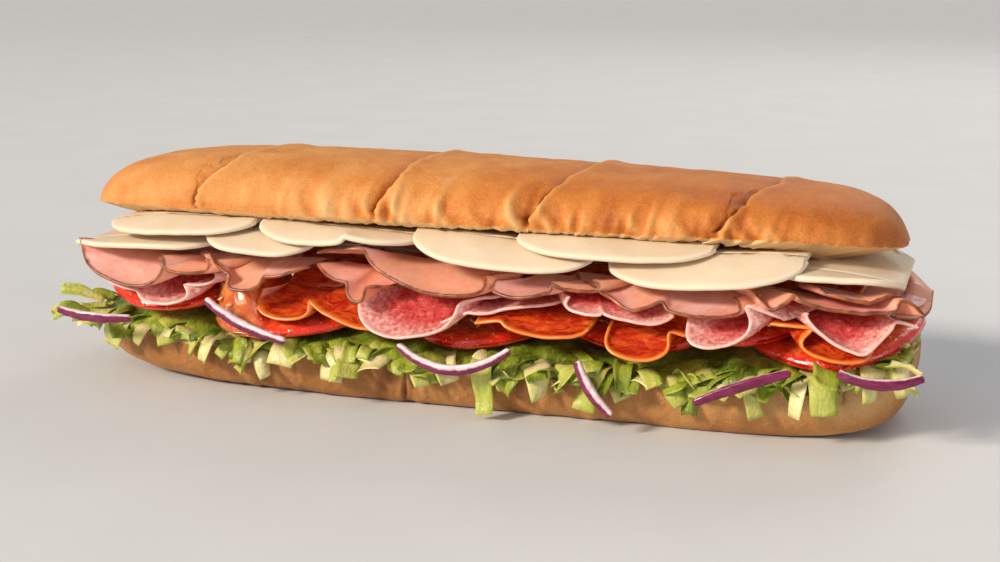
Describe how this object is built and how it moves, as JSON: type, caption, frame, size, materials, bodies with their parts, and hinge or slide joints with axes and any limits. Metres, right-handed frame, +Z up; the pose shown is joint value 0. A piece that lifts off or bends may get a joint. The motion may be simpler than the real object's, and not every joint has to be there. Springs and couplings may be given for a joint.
{
  "type": "submarine sandwich",
  "caption": "Long split roll filled with overlapping round cheese slices, folded ham, salami and pepperoni, tomato, onion strips and shredded lettuce.",
  "frame": {"origin": "middle of the base of the box around the sandwich, on the plane it rests on", "axes": "+X along the roll, -Y towards the side in the picture, +Z up"},
  "size_m": [0.3106, 0.1026, 0.0834],
  "materials": {
    "crust_top": "baked crust, golden, fine grain",
    "crust_bottom": "baked crust, darker, wrinkled",
    "cheese": "smooth, slightly waxy",
    "ham": "moist, with a browned rim",
    "salami": "moist, marbled",
    "pepperoni": "oily",
    "tomato": "wet",
    "onion": "crisp and wet, with purple skin",
    "lettuce": "fresh leaf"
  },
  "bodies": {
    "root": {"bun_top": "crust_top", "bun_bottom": "crust_bottom", "lettuce": "lettuce", "cheese_1": "cheese", "cheese_2": "cheese", "cheese_3": "cheese", "cheese_4": "cheese", "cheese_5": "cheese", "cheese_6": "cheese", "cheese_7": "cheese", "cheese_8": "cheese", "ham_1": "ham", "ham_2": "ham", "ham_3": "ham", "ham_4": "ham", "ham_5": "ham", "ham_6": "ham", "ham_7": "ham", "ham_8": "ham", "salami_1": "salami", "salami_2": "salami", "salami_3": "salami", "salami_4": "salami", "salami_5": "salami", "salami_6": "salami", "pepperoni_1": "pepperoni", "pepperoni_2": "pepperoni", "pepperoni_3": "pepperoni", "pepperoni_4": "pepperoni", "tomato_1": "tomato", "tomato_2": "tomato", "tomato_3": "tomato", "tomato_4": "tomato", "tomato_5": "tomato", "tomato_6": "tomato", "onion_1": "onion", "onion_2": "onion", "onion_3": "onion", "onion_4": "onion", "onion_5": "onion", "onion_6": "onion", "onion_7": "onion", "onion_8": "onion", "onion_9": "onion", "onion_10": "onion"}
  },
  "joints": []
}
